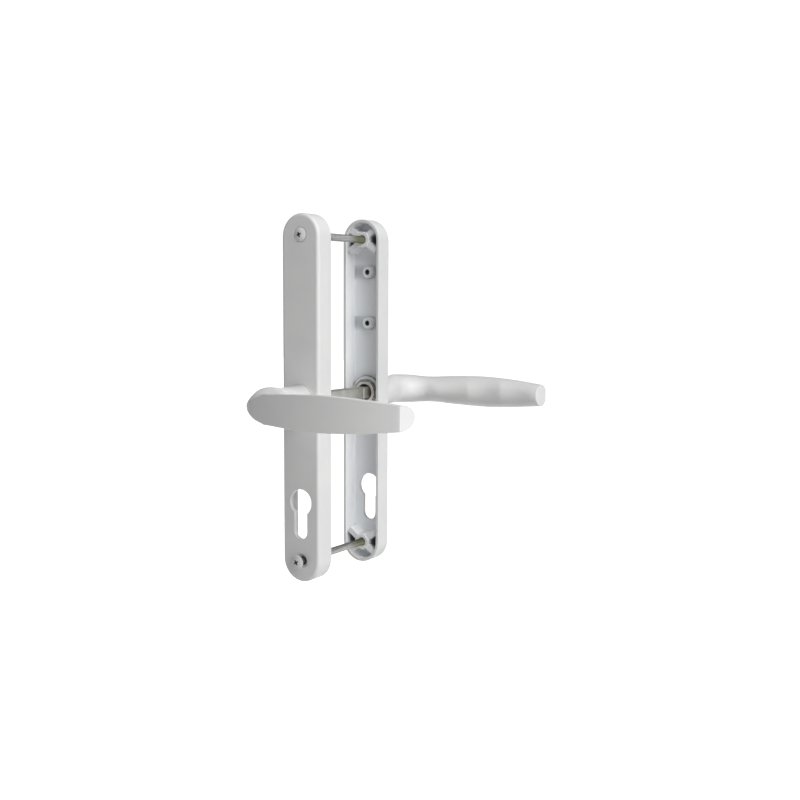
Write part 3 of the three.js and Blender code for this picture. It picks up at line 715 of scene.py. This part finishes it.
def neck_rings(side):
    """From the bottom of the spindle's socket, out of the journal's end, and back to the shoulder."""
    turns = np.linspace(-math.pi, math.pi, RING_POINTS, endpoint=False)

    def square(depth):
        reach = [SOCKET_HALF / max(abs(math.cos(t)), abs(math.sin(t))) for t in turns]
        return [at(side, r * math.cos(t), depth, r * math.sin(t)) for r, t in zip(reach, turns)]

    def circle(radius, depth, flat=1):
        return [
            at(side, radius * math.cos(t), depth, max(-flat, min(flat, radius * math.sin(t))))
            for t in turns
        ]

    edge = SOFT_EDGE
    groove_near, groove_far = clip_near - GROOVE_PLAY, clip_far + GROOVE_PLAY
    return [
        square(JOURNAL_END + SOCKET_DEPTH),
        square(JOURNAL_END + MOUTH_DEPTH),
        circle(MOUTH_RADIUS, JOURNAL_END + MOUTH_DEPTH),
        circle(MOUTH_RADIUS, JOURNAL_END + edge),
        circle(MOUTH_RADIUS + edge, JOURNAL_END),
        circle(JOURNAL_RADIUS - edge, JOURNAL_END, JOURNAL_FLAT),
        circle(JOURNAL_RADIUS, JOURNAL_END + edge, JOURNAL_FLAT),
        circle(JOURNAL_RADIUS, groove_near, JOURNAL_FLAT),
        circle(GROOVE_RADIUS, groove_near),
        circle(GROOVE_RADIUS, groove_far),
        circle(JOURNAL_RADIUS, groove_far, JOURNAL_FLAT),
        circle(JOURNAL_RADIUS, flats_end, JOURNAL_FLAT),
        circle(JOURNAL_RADIUS, flats_end),
        circle(JOURNAL_RADIUS, shoulder),
        circle(NECK_RADIUS - edge, shoulder),
        circle(NECK_RADIUS, shoulder + edge),
    ]


def lever(side):
    sections = lever_sections()
    rings = neck_rings(side)
    rings += [section_ring(side, *section) for section in sections[1:-1]]
    (outer_x, outer_depth), (inner_x, inner_depth), along = sections[-1]
    for turn in np.radians((0, 30, 60, 90)):
        x = REACH - END_ROUND * (1 - math.sin(turn))
        shrink = END_ROUND * (1 - math.cos(turn))
        rings.append(section_ring(side, (x, outer_depth), (x, inner_depth), along, shrink))
    piece = loft(f"{side}_lever_cast", rings)
    hole = [
        [(x, SIDES[side] * (DOOR_HALF + GRUB_ALONG) + y, z) for x, y in arc(GRUB_HOLE, 0, 345, 23)]
        for z in (-NECK_RADIUS - CUT_PAST, 0)
    ]
    join(piece, loft("grub_hole", hole), "DIFFERENCE")
    shade(piece, 30)
    return piece


BARE_ZINC = (0.60, 0.55, 0.51, 1)
BARE_ZINC_DARK = (0.44, 0.40, 0.37, 1)


def machined_zinc(place):
    turning = place.noise(0.3, 2)
    return {
        "Base Color": turning.between(0.3, 0.7).blend(BARE_ZINC, BARE_ZINC_DARK),
        "Roughness": 0.38 + 0.15 * turning,
        "height": 0.006 * turning,
    }


bare_zinc = material("bare_zinc", machined_zinc, {"Metallic": 0.7})

for side in SIDES:
    piece = lever(side)
    coat(piece, white_paint, bare_zinc)
    for face in piece.data.polygons:
        in_socket = math.hypot(face.center.x, face.center.z) < MOUTH_RADIUS + SOFT_EDGE
        unpainted = abs(face.center.y) - DOOR_HALF < (SOCKET_DEPTH if in_socket else shoulder)
        face.material_index = int(unpainted)
    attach(piece, HANDLE[side])
    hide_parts(f"{side}_lever")

# ---- The bushes ---------------------------------------------------------------------------------
# A flanged bush of natural nylon lines each plate's hole, and the lever's neck turns in it. It is
# moulded, so it is satin, with faint flow marks.

NYLON = (0.70, 0.695, 0.665, 1)
NYLON_AGED = (0.64, 0.625, 0.58, 1)
MOULD_EDGE = 0.15 * MM
BUSH_FLANGE = 0.8 * MM
BUSH_PLAY = 0.1 * MM


def moulded_nylon(place):
    flow = place.scaled(1, 0.3, 1).noise(5, 2)
    grain = place.noise(0.2, 1)
    return {
        "Base Color": flow.between(0.3, 0.75).blend(NYLON, NYLON_AGED),
        "Roughness": 0.4 + 0.15 * grain,
        "height": 0.008 * grain + 0.01 * flow,
    }


nylon = material("nylon", moulded_nylon, {"Subsurface Weight": 0.15, "Subsurface Scale": MM})


def depths(node):
    """The lowest and highest depth of a CAD node, from its side's door face."""
    low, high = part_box(node)
    ends = sorted((abs(low.y) - DOOR_HALF, abs(high.y) - DOOR_HALF))
    return ends[0], ends[1]


def finish_piece(piece, look, body, node):
    coat(piece, look)
    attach(piece, body)
    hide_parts(node)


for side in SIDES:
    near, far = depths(f"{side}_bush")
    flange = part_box(f"{side}_bush")[1].x
    inside, outside, lip = JOURNAL_RADIUS + BUSH_PLAY, HUB_HOLE - BUSH_PLAY, far - BUSH_FLANGE
    corners = [(inside, near), (outside, near), (outside, lip), (flange, lip), (flange, far)]
    piece = turned(f"{side}_bush_moulded", side, corners + [(inside, far)], closed=True)
    soften(piece, MOULD_EDGE)
    finish_piece(piece, nylon, "plates", f"{side}_bush")

# ---- The return springs, thrust washers and circlips --------------------------------------------
# The spring is wound from wire: one end hooks on the plate, and its bent tang goes through a washer
# into the driver. A stamped circlip holds them all on the journal. All are blackened spring steel
# with a film of oil.

BLUED = (0.16, 0.165, 0.17, 1)
WORN = (0.36, 0.355, 0.34, 1)
WIRE_POINTS = 14
WIRE = 0.45 * MM  # radius
SPRING_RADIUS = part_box("exterior_return_spring")[1].x - WIRE
SPRING_START = math.radians(-530)
HOOK_TURN = math.radians(14)
HOOK_RISE = 1.1 * MM
TANG_HOLE = 0.7 * MM
STAMPED_EDGE = 0.1 * MM
WASHER_INSIDE = JOURNAL_RADIUS + 0.2 * MM
CLIP_GAP = 16  # degrees, to either side of the middle of the opening
CLIP_OUTSIDE = 9.3 * MM
CLIP_INSIDE = GROOVE_RADIUS + 0.1 * MM
CLIP_EYE = 1.5 * MM
CLIP_EYE_HOLE = 0.7 * MM


def blackened_steel(place):
    wear = place.noise(2.2, 4)
    scratches = place.scaled(1, 6, 1).noise(0.7, 2)
    return {
        "Base Color": wear.between(0.45, 0.72).blend(BLUED, WORN),
        "Roughness": 0.3 + 0.25 * scratches,
        "height": 0.006 * scratches,
    }


spring_steel = material("spring_steel", blackened_steel, {"Metallic": 1})


def wire(name, path, radius):
    """A round wire along a path of points, with domed ends."""
    path = [Vector(point) for point in path]
    rings, up = [], Vector((0, 0, 1))
    for i, point in enumerate(path):
        along = (path[min(i + 1, len(path) - 1)] - path[max(i - 1, 0)]).normalized()
        across = along.cross(up).normalized()
        up = across.cross(along)
        sizes = [(0, radius)]
        if i == 0:
            sizes = [(0, 0.5 * radius), (0.3 * radius, 0.85 * radius), (0.6 * radius, radius)]
        elif i == len(path) - 1:
            sizes = [(-0.6 * radius, radius), (-0.3 * radius, 0.85 * radius), (0, 0.5 * radius)]
        for shift, size in sizes:
            turns = np.linspace(0, 2 * math.pi, WIRE_POINTS, endpoint=False)
            ring = [across * math.cos(t) + up * math.sin(t) for t in turns]
            rings.append([point + along * shift + spoke * size for spoke in ring])
    return loft(name, rings)


def return_spring(side):
    near, far = depths(f"{side}_return_spring")
    driver_near = depths(f"{side}_spring_driver")[0]
    start, stop = far - WIRE, near + WIRE
    bend = 2 * WIRE
    lead = math.asin(bend / SPRING_RADIUS)
    path = []
    last_turn = math.pi - lead
    for turn in np.linspace(SPRING_START, last_turn, 150):
        share = (turn - SPRING_START) / (last_turn - SPRING_START)
        hook = max(0, 1 - (turn - SPRING_START) / HOOK_TURN) ** 2
        radius = SPRING_RADIUS + HOOK_RISE * hook
        depth = start + (stop - start) * share
        path.append(at(side, radius * math.cos(turn), depth, radius * math.sin(turn)))
    for turn in np.radians((20, 45, 70, 90)):
        depth = stop - bend * (1 - math.cos(turn))
        path.append(at(side, -SPRING_RADIUS, depth, bend * (1 - math.sin(turn))))
    path.append(at(side, -SPRING_RADIUS, (stop - bend + driver_near) / 2, 0))
    path.append(at(side, -SPRING_RADIUS, driver_near, 0))
    return wire(f"{side}_spring_wound", path, WIRE * 0.96)


def tang_hole(side, start, stop):
    ring = [(-SPRING_RADIUS + x, z) for x, z in arc(TANG_HOLE, 0, 345, 23)]
    return prism(side, ring, start, stop)


def thrust_washer(side):
    near, far = depths(f"{side}_thrust_washer")
    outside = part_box(f"{side}_thrust_washer")[1].x
    corners = [(WASHER_INSIDE, near), (outside, near), (outside, far), (WASHER_INSIDE, far)]
    piece = turned(f"{side}_washer_stamped", side, corners, closed=True)
    join(piece, tang_hole(side, near - WIRE, far + WIRE), "DIFFERENCE")
    soften(piece, STAMPED_EDGE)
    return piece


def circlip(side):
    near, far = depths(f"{side}_circlip")
    outline = arc(CLIP_OUTSIDE, CLIP_GAP, 360 - CLIP_GAP, 80)
    outline += arc(CLIP_INSIDE, 360 - CLIP_GAP, CLIP_GAP, 80)
    piece = prism(side, outline, near, far, f"{side}_circlip_stamped")
    for turn in np.radians((CLIP_GAP, -CLIP_GAP)):
        middle = (CLIP_OUTSIDE * math.cos(turn), CLIP_OUTSIDE * math.sin(turn))
        join(piece, prism(side, arc(CLIP_EYE, 0, 345, 23, middle), near, far))
        hole = arc(CLIP_EYE_HOLE, 0, 345, 23, middle)
        join(piece, prism(side, hole, near - WIRE, far + WIRE), "DIFFERENCE")
    throat = prism(side, arc(CLIP_INSIDE, 0, 356, 89), near - WIRE, far + WIRE)
    join(piece, throat, "DIFFERENCE")
    soften(piece, STAMPED_EDGE)
    return piece


for side in SIDES:
    piece = return_spring(side)
    shade(piece, 60)
    coat(piece, spring_steel)
    near, far = depths(f"{side}_return_spring")
    at(side, 0, far, 0)
    at(side, 0, near, 0)
    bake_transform(piece)
    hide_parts(f"{side}_return_spring")
    node = f"{side}_thrust_washer"
    finish_piece(thrust_washer(side), spring_steel, HANDLE[side], node)
    finish_piece(circlip(side), spring_steel, HANDLE[side], f"{side}_circlip")

# ---- The drivers, wave washers and grub screws --------------------------------------------------
# The driver is a disc stamped from steel sheet, whose hole fits the journal's two flats. A wave
# washer in front takes up the play, and a grub screw under the neck grips the spindle. All are
# bright zinc plated.

ZINC = (0.56, 0.565, 0.57, 1)
ZINC_DULL = (0.42, 0.42, 0.41, 1)
DRIVER_FLAT = JOURNAL_FLAT + 0.1 * MM
WAVE_SHEET = 0.25 * MM
WAVES = 3
WAVE_EDGE = 0.06 * MM
GRUB_EDGE = 0.3 * MM
GRUB_KEY = 1.25 * MM  # half the hexagon, across its flats
GRUB_KEY_DEPTH = 2 * MM


def bright_zinc(place):
    clouds = place.noise(4, 3)
    scratches = place.scaled(0.3, 1, 3).noise(0.35, 2)
    return {
        "Base Color": clouds.between(0.35, 0.75).blend(ZINC, ZINC_DULL),
        "Roughness": 0.28 + 0.14 * clouds + 0.1 * scratches,
        "height": 0.004 * scratches,
    }


zinc = material("zinc_plate", bright_zinc, {"Metallic": 1})


def driver(side):
    near, far = depths(f"{side}_spring_driver")
    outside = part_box(f"{side}_spring_driver")[1].x
    piece = turned(f"{side}_driver_stamped", side, [(outside, near), (outside, far)], 80)
    bore = arc(WASHER_INSIDE, 0, 355, 71)
    hole = [(x, max(-DRIVER_FLAT, min(DRIVER_FLAT, z))) for x, z in bore]
    join(piece, prism(side, hole, near - CUT_PAST, far + CUT_PAST), "DIFFERENCE")
    join(piece, tang_hole(side, near - CUT_PAST, far + CUT_PAST), "DIFFERENCE")
    soften(piece, STAMPED_EDGE)
    return piece


def wave_washer(side):
    near, far = depths(f"{side}_wave_washer")
    inside, outside = WASHER_INSIDE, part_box(f"{side}_wave_washer")[1].x
    corners = ((inside, 0), (outside, 0), (outside, WAVE_SHEET), (inside, WAVE_SHEET))
    rings = []
    for radius, layer in corners:
        ring = []
        for turn in np.radians(np.linspace(0, 360, 96, endpoint=False)):
            rise = (far - near - WAVE_SHEET) * (1 - math.cos(WAVES * turn)) / 2
            x, z = radius * math.cos(turn), radius * math.sin(turn)
            ring.append(at(side, x, near + layer + rise, z))
        rings.append(ring)
    piece = loft(f"{side}_wave_washer_pressed", rings, closed=True)
    soften(piece, WAVE_EDGE)
    return piece


def grub_screw(side):
    low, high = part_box(f"{side}_grub_screw")
    radius = (high.x - low.x) / 2
    middle_y = SIDES[side] * (DOOR_HALF + GRUB_ALONG)
    turns = np.radians(np.linspace(0, 360, 48, endpoint=False))

    def ring(height, size):
        return [(size * math.cos(t), middle_y + size * math.sin(t), height) for t in turns]

    def hexagon(height):
        sixth = math.pi / 3
        reach = [GRUB_KEY / math.cos((t + sixth / 2) % sixth - sixth / 2) for t in turns]
        return [(r * math.cos(t), middle_y + r * math.sin(t), height) for r, t in zip(reach, turns)]

    rings = [
        ring(high.z, radius - 4 * GRUB_EDGE),
        ring(high.z - 3 * GRUB_EDGE, radius),
        ring(low.z + GRUB_EDGE, radius),
        ring(low.z, radius - GRUB_EDGE),
        ring(low.z, GRUB_KEY * 1.3),
        hexagon(low.z + GRUB_EDGE / 2),
        hexagon(low.z + GRUB_KEY_DEPTH),
    ]
    piece = loft(f"{side}_grub_screw_turned", rings)
    shade(piece, 30)
    return piece


for side in SIDES:
    makers = {"spring_driver": driver, "wave_washer": wave_washer, "grub_screw": grub_screw}
    for name, make in makers.items():
        finish_piece(make(side), zinc, HANDLE[side], f"{side}_{name}")

# ---- The spindle --------------------------------------------------------------------------------
# Square steel bar, cold drawn and zinc plated, with chamfered ends and a notch all round near each
# plate where it can be snapped shorter. Drawing leaves fine streaks along it.

spindle_low, spindle_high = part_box("spindle")
SPINDLE_HALF = spindle_high.x
SPINDLE_CORNER = 0.5 * MM
NOTCH_AT = 26 * MM
NOTCH_DEPTH = 0.5 * MM
NOTCH_HALF = 0.7 * MM
NOTCH_SLOPE = 0.3 * MM
SPINDLE_CHAMFER = 0.8 * MM
DRAWN = (0.46, 0.455, 0.42, 1)
DRAWN_DARK = (0.36, 0.355, 0.33, 1)


def drawn_zinc(place):
    streaks = place.scaled(1, 0.02, 1).noise(0.6, 3)
    clouds = place.noise(6, 3)
    return {
        "Base Color": clouds.between(0.3, 0.75).blend(DRAWN, DRAWN_DARK),
        "Roughness": 0.36 + 0.2 * streaks,
        "height": 0.012 * streaks + 0.004 * clouds,
    }


drawn_steel = material("drawn_zinc", drawn_zinc, {"Metallic": 0.85})


def spindle():
    chamfered = SPINDLE_HALF - SPINDLE_CHAMFER
    steps = [(spindle_low.y, chamfered), (spindle_low.y + SPINDLE_CHAMFER, SPINDLE_HALF)]
    for middle in (-NOTCH_AT, NOTCH_AT):
        floor = SPINDLE_HALF - NOTCH_DEPTH
        near, far = middle - NOTCH_HALF, middle + NOTCH_HALF
        steps += [(near, SPINDLE_HALF), (near + NOTCH_SLOPE, floor)]
        steps += [(far - NOTCH_SLOPE, floor), (far, SPINDLE_HALF)]
    steps += [(spindle_high.y - SPINDLE_CHAMFER, SPINDLE_HALF), (spindle_high.y, chamfered)]
    rings = []
    for y, half in steps:
        flat = half - SPINDLE_CORNER
        middles = ((flat, flat), (-flat, flat), (-flat, -flat), (flat, -flat))
        corners = []
        for i, middle in enumerate(middles):
            corners += arc(SPINDLE_CORNER, 90 * i, 90 * i + 90, 5, middle)
        rings.append([(x, y, z) for x, z in corners])
    piece = loft("spindle_drawn", rings)
    shade(piece, 25)
    return piece


finish_piece(spindle(), drawn_steel, "interior_handle", "spindle")

# ---- The bolts ----------------------------------------------------------------------------------
# Two long M5 machine screws with raised countersunk heads and a cross recess. The threads are
# rolled. They are zinc plated with a thin yellow passivate, and their heads are sprayed white. The
# cross recess is painted near-black as its shade.

BOLT_SHANK = 30 * MM
PITCH = 0.8 * MM
THREAD_DEPTH = 0.42 * MM
THREAD_ROOT = 0.12 * MM  # below the plain shank
THREAD_FLANK = 2.9
THREAD_CREST = 1.35
SHANK_RADIUS = 2.2 * MM
TIP_CHAMFER = 0.8 * MM
HEAD_DOME = 1.3 * MM
HEAD_RIM = 0.2 * MM
HEAD_TURN = {"top_bolt": 20, "bottom_bolt": 35}
RECESS_TOP = 2.4 * MM
RECESS_BOTTOM = 0.9 * MM
RECESS_HALF_WIDTH = 0.55 * MM
RECESS_DEPTH = 0.7 * MM  # below the head's rim
RECESS_SKIN = 0.12 * MM
BOLT_POINTS = 36
BOLT_GREY = (0.29, 0.29, 0.285, 1)
BOLT_YELLOW = (0.125, 0.13, 0.08, 1)
# Near-black painted shade for the cross recess in the heads.
RECESS_PAINTED_SHADE = (0.09, 0.09, 0.09, 1)
RECESS_PAINTED_SHADE_DEEP = (0.05, 0.05, 0.05, 1)
HEAD_WHITE = (0.74, 0.74, 0.735, 1)
HEAD_CHIPPED = (0.64, 0.64, 0.63, 1)


def passivated_zinc(place):
    spread = place.scaled(1, 0.4, 1).noise(5, 3)
    far_end = (place.part("Y") + 6 * spread).between(12, 26)
    rolled = place.scaled(1, 0.3, 1).noise(0.5, 2)
    return {
        "Base Color": far_end.blend(BOLT_GREY, BOLT_YELLOW),
        "Roughness": 0.34 + 0.2 * spread,
        "height": 0.008 * rolled,
    }


def sprayed_white(place):
    mottle = place.noise(1.2, 3)
    return {
        "Base Color": mottle.between(0.45, 0.75).blend(HEAD_WHITE, HEAD_CHIPPED),
        "Roughness": 0.36 + 0.12 * mottle,
        "height": 0.02 * mottle,
    }


# Painted shade: the cross recess is coloured near-black, with darker blots.
def recess_shade_look(place):
    shade_blots = place.noise(0.6, 2)
    return {
        "Base Color": shade_blots.between(0.3, 0.7).blend(RECESS_PAINTED_SHADE, RECESS_PAINTED_SHADE_DEEP),
        "Roughness": 0.4 + 0.3 * shade_blots,
        "height": 0.01 * shade_blots,
    }


bolt_zinc = material("yellow_passivate", passivated_zinc, {"Metallic": 0.9})
recess_shade_paint = material("painted_recess_shade", recess_shade_look, {"Metallic": 0.3})
head_white = material("sprayed_head", sprayed_white, {})


def thread_radius(y, turn):
    """A rolled thread's radius: flanks, a flat crest and a rounded root."""
    phase = (y / PITCH - turn / (2 * math.pi)) % 1
    height = min(1, max(0, THREAD_CREST - THREAD_FLANK * abs(phase - 0.5)))
    return SHANK_RADIUS - THREAD_ROOT + THREAD_DEPTH * height


def bolt(name):
    low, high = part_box(name)
    z = (low.z + high.z) / 2
    rim_y, tip = low.y + HEAD_DOME, high.y
    dome = (HEAD_RADIUS ** 2 + HEAD_DOME ** 2) / (2 * HEAD_DOME)
    turns = np.linspace(0, 2 * math.pi, BOLT_POINTS, endpoint=False)

    def ring(y, radius):
        return [(radius * math.cos(t), y, z + radius * math.sin(t)) for t in turns]

    rings = []
    for radius in np.linspace(0.05, 0.97, 12) * HEAD_RADIUS:
        rings.append(ring(rim_y - HEAD_DOME + dome - math.sqrt(dome ** 2 - radius ** 2), radius))
    rings += [ring(rim_y + HEAD_RIM / 4, HEAD_RADIUS), ring(rim_y + HEAD_RIM, HEAD_RADIUS)]
    neck = rim_y + HEAD_RIM + HEAD_RADIUS - SHANK_RADIUS
    rings += [ring(neck, SHANK_RADIUS), ring(rim_y + BOLT_SHANK, SHANK_RADIUS)]
    steps = int((tip - rim_y - BOLT_SHANK) / PITCH * 8)
    for y in np.linspace(rim_y + BOLT_SHANK, tip, steps)[1:]:
        fade = smooth_step(y, rim_y + BOLT_SHANK, rim_y + BOLT_SHANK + PITCH)
        limit = BOLT_RADIUS - max(0, y - tip + TIP_CHAMFER)
        row = []
        for t in turns:
            radius = SHANK_RADIUS + (thread_radius(y, t) - SHANK_RADIUS) * fade
            radius = min(radius, limit)
            row.append((radius * math.cos(t), y, z + radius * math.sin(t)))
        rings.append(row)
    piece = loft(f"{name}_rolled", rings)
    for quarter in (0, 90):
        spin = Matrix.Rotation(math.radians(HEAD_TURN[name] + quarter), 2)
        bars, half = [], RECESS_HALF_WIDTH
        ends = ((low.y - CUT_PAST, RECESS_TOP), (rim_y + RECESS_DEPTH, RECESS_BOTTOM))
        for y, reach in ends:
            corners = [(-reach, -half), (reach, -half), (reach, half), (-reach, half)]
            spun = [spin @ Vector(corner) for corner in corners]
            bars.append([(p.x, y, z + p.y) for p in spun])
        join(piece, loft("recess", bars), "DIFFERENCE")
    shade(piece, 35)
    return piece


for name in HEAD_TURN:
    piece = bolt(name)
    low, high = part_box(name)
    coat(piece, bolt_zinc, head_white, recess_shade_paint)
    for face in piece.data.polygons:
        x, z = face.center.x, face.center.z - (low.z + high.z) / 2
        dome = low.y + HEAD_DOME * (math.hypot(x, z) / HEAD_RADIUS) ** 2
        if face.center.y < low.y + HEAD_DOME + 0.3 * MM:
            face.material_index = 1
        # Faces in the cross recess take the painted recess shade.
        if math.hypot(x, z) < RECESS_TOP and face.center.y > dome + RECESS_SKIN:
            face.material_index = 2 if face.center.y < low.y + 2 * HEAD_DOME else 0
    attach(piece, "plates")
    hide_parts(name)
